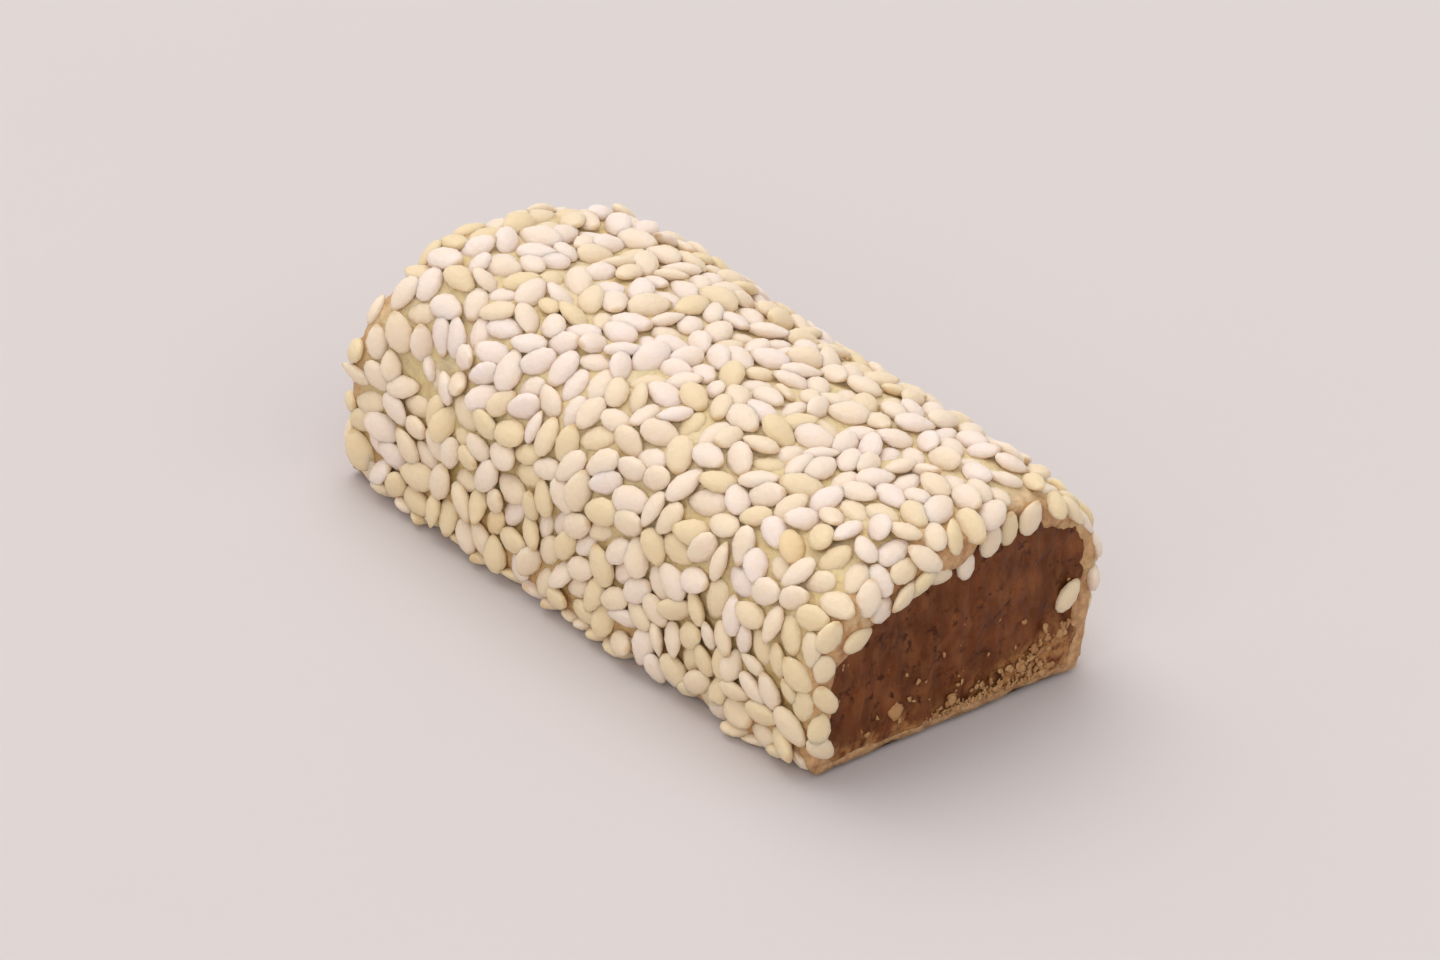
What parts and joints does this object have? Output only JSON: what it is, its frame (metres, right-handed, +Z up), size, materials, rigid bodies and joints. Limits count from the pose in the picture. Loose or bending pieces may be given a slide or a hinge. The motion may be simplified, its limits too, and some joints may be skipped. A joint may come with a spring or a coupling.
{
  "type": "date finger cookie",
  "caption": "Finger cookie cut square at both ends: a bar of date paste in a thin baked dough sleeve that is rolled in sesame seeds.",
  "frame": {"origin": "centre of the flat underside that the cookie rests on", "axes": "+X along the cookie towards the cut end that the picture shows, +Z up, -Y towards the long side that the picture shows"},
  "size_m": [0.045, 0.0248, 0.0156],
  "materials": {
    "sesame_dough": "matte, baked",
    "date_paste": "satin, sticky"
  },
  "bodies": {
    "root": {"sesame_crust": "sesame_dough", "date_filling": "date_paste"}
  },
  "joints": []
}
